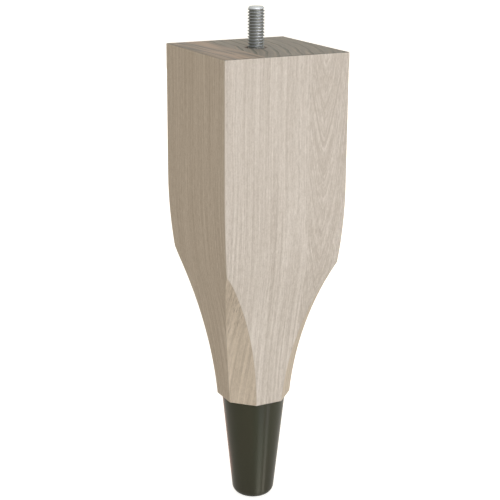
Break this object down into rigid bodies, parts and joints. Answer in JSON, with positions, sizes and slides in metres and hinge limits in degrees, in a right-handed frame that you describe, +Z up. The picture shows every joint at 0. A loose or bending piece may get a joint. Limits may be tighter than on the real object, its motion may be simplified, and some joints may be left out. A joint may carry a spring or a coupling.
{
  "type": "wooden furniture foot",
  "caption": "Square wooden furniture foot that narrows on curved faces and coved corners to an octagon, with a tapered metal ferrule below and a threaded stud on top.",
  "frame": {"origin": "centre of the ferrule's flat sole, on the floor", "axes": "+Z up along the foot's axis towards the stud; X and Y square to the block's faces"},
  "size_m": [0.0636, 0.0636, 0.2476],
  "materials": {
    "leg_wood": "pale limed oak, matt clear coat",
    "ferrule_metal": "dark bronze, semi-gloss",
    "bolt_steel": "bright zinc plate"
  },
  "bodies": {
    "root": {"leg_body": "leg_wood", "ferrule": "ferrule_metal", "hanger_bolt": "bolt_steel"}
  },
  "joints": []
}
